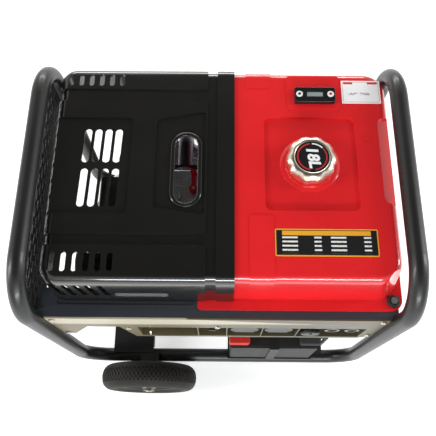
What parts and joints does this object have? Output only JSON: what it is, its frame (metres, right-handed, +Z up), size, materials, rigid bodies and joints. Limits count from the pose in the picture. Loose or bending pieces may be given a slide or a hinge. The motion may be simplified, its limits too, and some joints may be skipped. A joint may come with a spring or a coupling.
{
  "type": "engine driven welder",
  "caption": "Wheeled engine driven welder: open tube frame, red fuel tank, vented engine cover, control panel, battery and alternator.",
  "frame": {"origin": "centre of the bounding box at floor level", "axes": "+X along the crankshaft towards the alternator end, -Y towards the control panel, +Z up"},
  "size_m": [0.69, 0.653, 0.694],
  "materials": {
    "frame_black": "satin black enamel",
    "cover_black": "gloss black enamel",
    "tank_red": "gloss red enamel",
    "panel_olive": "printed panel face, gloss",
    "chrome": "bright plated",
    "zinc": "zinc plated",
    "shaft_steel": "ground steel",
    "muffler_steel": "heat-stained steel",
    "cast_alu": "as cast",
    "cast_iron": "black heat-resistant paint",
    "engine_iron": "dark engine paint",
    "tyre": "moulded rubber",
    "rubber": "matt",
    "rubber_red": "matt",
    "plastic_black": "moulded",
    "plastic_gloss": "moulded gloss",
    "plastic_grey": "moulded",
    "plastic_red": "moulded gloss",
    "brass": "machined",
    "copper_core": "cable sheath"
  },
  "bodies": {
    "machine": {"frame_left_tube": "frame_black", "frame_right_tube": "frame_black", "crossmembers": "frame_black", "axle_brackets": "frame_black", "axle_stubs": "zinc", "stand_legs": "frame_black", "rubber_feet": "rubber", "engine_skid": "frame_black", "rubber_mounts": "rubber", "crankcase": "cast_alu", "cylinder": "engine_iron", "cylinder_head": "cast_alu", "rocker_cover": "cast_alu", "fan_shroud": "cover_black", "recoil_cover": "cover_black", "air_cleaner": "plastic_black", "air_cleaner_lid": "plastic_gloss", "exhaust_pipe": "muffler_steel", "muffler": "muffler_steel", "starter_motor": "zinc", "injection_pump": "zinc", "alternator_adapter": "cast_alu", "alternator_stator": "zinc", "alternator_end_bell": "cast_alu", "fuel_tank_upper": "tank_red", "fuel_tank_lower": "tank_red", "bolts_and_screws": "zinc", "tank_rails": "frame_black", "fuel_gauge": "plastic_gloss", "top_cover": "cover_black", "end_guard": "cover_black", "control_panel": "panel_olive", "panel_box": "frame_black", "key_switch": "chrome", "voltmeter": "plastic_gloss", "breaker": "plastic_grey", "ac_sockets": "plastic_grey", "weld_sockets": "plastic_gloss", "weld_contacts": "brass", "battery_tray": "frame_black", "battery_case": "plastic_black", "battery_plus_boot": "rubber_red", "battery_minus_boot": "rubber", "battery_cables": "copper_core"},
    "front_wheel": {"front_rim": "frame_black", "front_tyre": "tyre"},
    "rear_wheel": {"rear_rim": "frame_black", "rear_tyre": "tyre"},
    "rotating_line": {"crankshaft": "shaft_steel", "flywheel": "cast_iron", "alternator_rotor": "shaft_steel"},
    "cap_plug": {"cap_seal": "rubber"},
    "cap": {"fuel_cap": "chrome"},
    "starter_grip": {"recoil_handle": "plastic_black"},
    "key": {"ignition_key": "chrome"},
    "dial": {"current_dial": "plastic_black"},
    "breaker_toggle": {"breaker_lever": "plastic_black"},
    "left_lid": {"left_socket_lid": "plastic_grey"},
    "right_lid": {"right_socket_lid": "plastic_grey"},
    "decompressor": {"decompression_lever": "plastic_red"}
  },
  "joints": [
    {"name": "front_wheel_spin", "type": "hinge", "parent": "machine", "child": "front_wheel", "pos_m": [-0.168, -0.294, 0.115], "axis": [0, 1, 0], "continuous": true},
    {"name": "rear_wheel_spin", "type": "hinge", "parent": "machine", "child": "rear_wheel", "pos_m": [-0.168, 0.294, 0.115], "axis": [0, 1, 0], "continuous": true},
    {"name": "crank_spin", "type": "hinge", "parent": "machine", "child": "rotating_line", "pos_m": [-0.07, 0, 0.314], "axis": [1, 0, 0], "continuous": true},
    {"name": "cap_lift", "type": "slide", "parent": "machine", "child": "cap_plug", "axis": [0, 0, 1], "range_m": [0, 0.12]},
    {"name": "cap_turn", "type": "hinge", "parent": "cap_plug", "child": "cap", "pos_m": [0.165, 0.032, 0.66], "axis": [0, 0, 1], "range_deg": [0, 90]},
    {"name": "starter_pull", "type": "slide", "parent": "machine", "child": "starter_grip", "axis": [-1, 0, 0], "range_m": [0, 0.5], "stiffness_N_per_m": 30},
    {"name": "key_turn", "type": "hinge", "parent": "machine", "child": "key", "pos_m": [-0.132, -0.219, 0.431], "axis": [0, 1, 0], "range_deg": [0, 80]},
    {"name": "dial_turn", "type": "hinge", "parent": "machine", "child": "dial", "pos_m": [0.184, -0.214, 0.431], "axis": [0, 1, 0], "range_deg": [-135, 135]},
    {"name": "breaker_throw", "type": "hinge", "parent": "machine", "child": "breaker_toggle", "pos_m": [-0.01, -0.211, 0.431], "axis": [1, 0, 0], "range_deg": [-22, 22]},
    {"name": "left_lid_swing", "type": "hinge", "parent": "machine", "child": "left_lid", "pos_m": [0.054, -0.226, 0.46], "axis": [-1, 0, 0], "range_deg": [0, 105], "stiffness_Nm_per_rad": 0.02, "springref_deg": -17.19},
    {"name": "right_lid_swing", "type": "hinge", "parent": "machine", "child": "right_lid", "pos_m": [0.122, -0.226, 0.46], "axis": [-1, 0, 0], "range_deg": [0, 105], "stiffness_Nm_per_rad": 0.02, "springref_deg": -17.19},
    {"name": "decompressor_swing", "type": "hinge", "parent": "machine", "child": "decompressor", "pos_m": [-0.048, 0.012, 0.571], "axis": [0, 0, 1], "range_deg": [-25, 30]}
  ]
}
